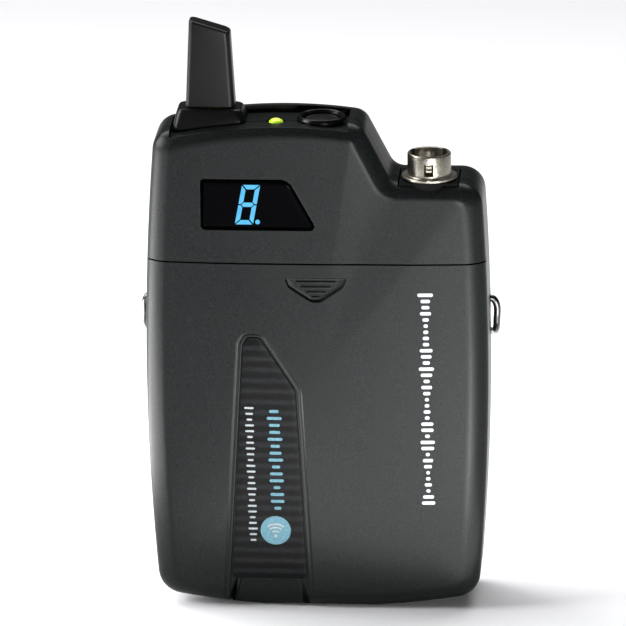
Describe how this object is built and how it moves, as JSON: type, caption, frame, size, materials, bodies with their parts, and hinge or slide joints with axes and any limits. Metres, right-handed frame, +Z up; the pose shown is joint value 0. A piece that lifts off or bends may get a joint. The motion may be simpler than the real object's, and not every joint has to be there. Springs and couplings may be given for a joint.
{
  "type": "wireless bodypack transmitter",
  "caption": "Belt-worn radio transmitter with a stub antenna, locking microphone socket, lit channel display, top push button, hinged battery door and wire belt clip.",
  "frame": {"origin": "middle of the case's foot, half-way through the depth of the case", "axes": "+Z up along the antenna, +Y to the belt side, +X to the socket's side as seen from the front"},
  "size_m": [0.0704, 0.0248, 0.1168],
  "materials": {
    "case_plastic": "fine texture",
    "label": "satin",
    "smoked_window": "gloss",
    "blue_segments": "lit",
    "circuit_board": "satin",
    "soft_black": "soft matte",
    "tray_plastic": "satin",
    "steel": "satin",
    "nickel": "satin nickel",
    "contact_gold": "gold plate",
    "lit_lens": "lit",
    "cell": "satin jacket",
    "badge": "woven sheen",
    "foam": "foam",
    "key_plastic": "satin",
    "trim_plastic": "satin",
    "black_wire": "gloss black"
  },
  "bodies": {
    "pack": {"rear_case": "case_plastic", "front_case": "case_plastic", "rear_label": "label", "display_window": "smoked_window", "display_digit": "blue_segments", "display_module": "tray_plastic", "display_board": "circuit_board", "board_header": "tray_plastic", "main_board": "circuit_board", "radio_shield": "steel", "processor": "tray_plastic", "antenna_boot": "soft_black", "antenna_blade": "soft_black", "antenna_element": "contact_gold", "button_bezel": "soft_black", "power_switch": "tray_plastic", "indicator_lens": "lit_lens", "indicator_led": "tray_plastic", "socket_shell": "nickel", "socket_insert": "tray_plastic", "socket_pin_1": "contact_gold", "socket_pin_2": "contact_gold", "socket_pin_3": "contact_gold", "socket_pin_4": "contact_gold", "socket_plate": "tray_plastic", "socket_retainer": "steel", "battery_tray": "tray_plastic", "cell_left": "cell", "cell_right": "cell", "cell_spring_left": "steel", "cell_spring_right": "steel", "contact_bridge": "steel", "contact_plus": "steel", "contact_minus": "steel", "pair_switch": "tray_plastic", "channel_switch": "tray_plastic", "level_trim": "trim_plastic", "clip_bush_right": "tray_plastic", "clip_bush_left": "tray_plastic", "case_screw_1": "steel", "case_screw_2": "steel", "case_screw_3": "steel", "case_screw_4": "steel"},
    "button": {"power_button": "soft_black"},
    "carrier": {"door_carrier": "tray_plastic", "hinge_pin_right": "steel", "hinge_pin_left": "steel"},
    "door": {"battery_door": "case_plastic", "door_badge": "badge", "door_pad": "foam"},
    "clip": {"belt_clip": "black_wire"},
    "pair": {"pair_key": "key_plastic"},
    "channel": {"channel_key": "key_plastic"},
    "level": {"level_knob": "key_plastic"}
  },
  "joints": [
    {"name": "power_button_press", "type": "slide", "parent": "pack", "child": "button", "axis": [0, 0, -1], "range_m": [0, 0.0008], "stiffness_N_per_m": 400, "springref_m": -0.0008},
    {"name": "door_slide", "type": "slide", "parent": "pack", "child": "carrier", "axis": [0, 0, -1], "range_m": [0, 0.0035]},
    {"name": "door_swing", "type": "hinge", "parent": "carrier", "child": "door", "pos_m": [0, -0.0041, 0.0017], "axis": [1, 0, 0], "range_deg": [0, 100]},
    {"name": "belt_clip_flex", "type": "hinge", "parent": "pack", "child": "clip", "pos_m": [0, 0.0045, 0.0595], "axis": [1, 0, 0], "range_deg": [0, 12], "stiffness_Nm_per_rad": 0.1, "springref_deg": -2.86},
    {"name": "pair_key_press", "type": "slide", "parent": "pack", "child": "pair", "axis": [0, 1, 0], "range_m": [0, 0.0004], "stiffness_N_per_m": 400, "springref_m": -0.0004},
    {"name": "channel_key_press", "type": "slide", "parent": "pack", "child": "channel", "axis": [0, 1, 0], "range_m": [0, 0.0004], "stiffness_N_per_m": 400, "springref_m": -0.0004},
    {"name": "level_knob_turn", "type": "hinge", "parent": "pack", "child": "level", "pos_m": [0.0208, -0.003, 0.032], "axis": [0, -1, 0], "range_deg": [-135, 135]}
  ]
}
